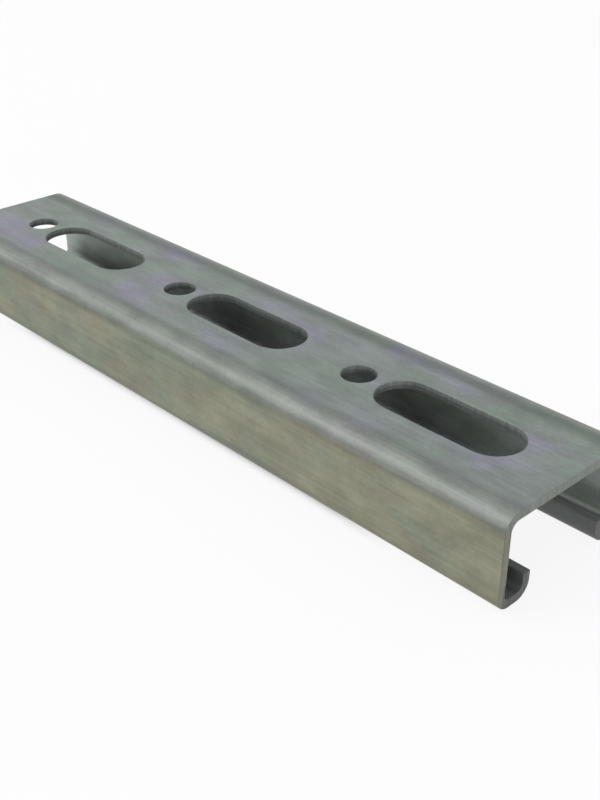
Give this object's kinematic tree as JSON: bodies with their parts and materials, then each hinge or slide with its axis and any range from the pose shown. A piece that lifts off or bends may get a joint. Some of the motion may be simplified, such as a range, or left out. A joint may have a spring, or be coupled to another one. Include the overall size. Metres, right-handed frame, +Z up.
{
  "type": "c-section mounting rail",
  "caption": "Roll-formed steel C-section mounting rail with inward curled lips and a web punched with round-ended slots and round holes.",
  "frame": {"origin": "middle of the footprint, level with the feet of the two lips", "axes": "+X along the rail, towards the end with a slot next to it; +Y across it; +Z up, out of the web"},
  "size_m": [0.147, 0.03, 0.016],
  "materials": {
    "zinc_plated_steel": "satin"
  },
  "bodies": {
    "root": {"rail": "zinc_plated_steel"}
  },
  "joints": []
}
